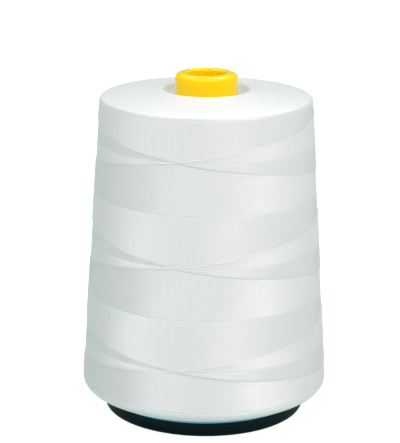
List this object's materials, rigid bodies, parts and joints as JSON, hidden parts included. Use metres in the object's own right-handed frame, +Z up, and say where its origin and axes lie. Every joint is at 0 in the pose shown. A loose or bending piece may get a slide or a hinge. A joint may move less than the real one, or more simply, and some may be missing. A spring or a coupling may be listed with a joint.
{
  "type": "cone of thread",
  "caption": "Cross-wound package of sewing thread on a tapered hollow plastic core that stands upright in a round moulded foot.",
  "frame": {"origin": "centre of the foot's underside, on the surface that the cone stands on", "axes": "+Z up along the cone's axis; -Y is the side seen in front; +X to the right of that view"},
  "size_m": [0.1222, 0.1222, 0.17],
  "materials": {
    "thread": "white spun sewing thread, cross-wound, with a soft low sheen",
    "core_plastic": "injection-moulded, warm yellow, glossy",
    "foot_plastic": "injection-moulded, near black with a blue-green tint, glossy"
  },
  "bodies": {
    "root": {"thread_package": "thread", "cone_core": "core_plastic", "base_foot": "foot_plastic"}
  },
  "joints": []
}
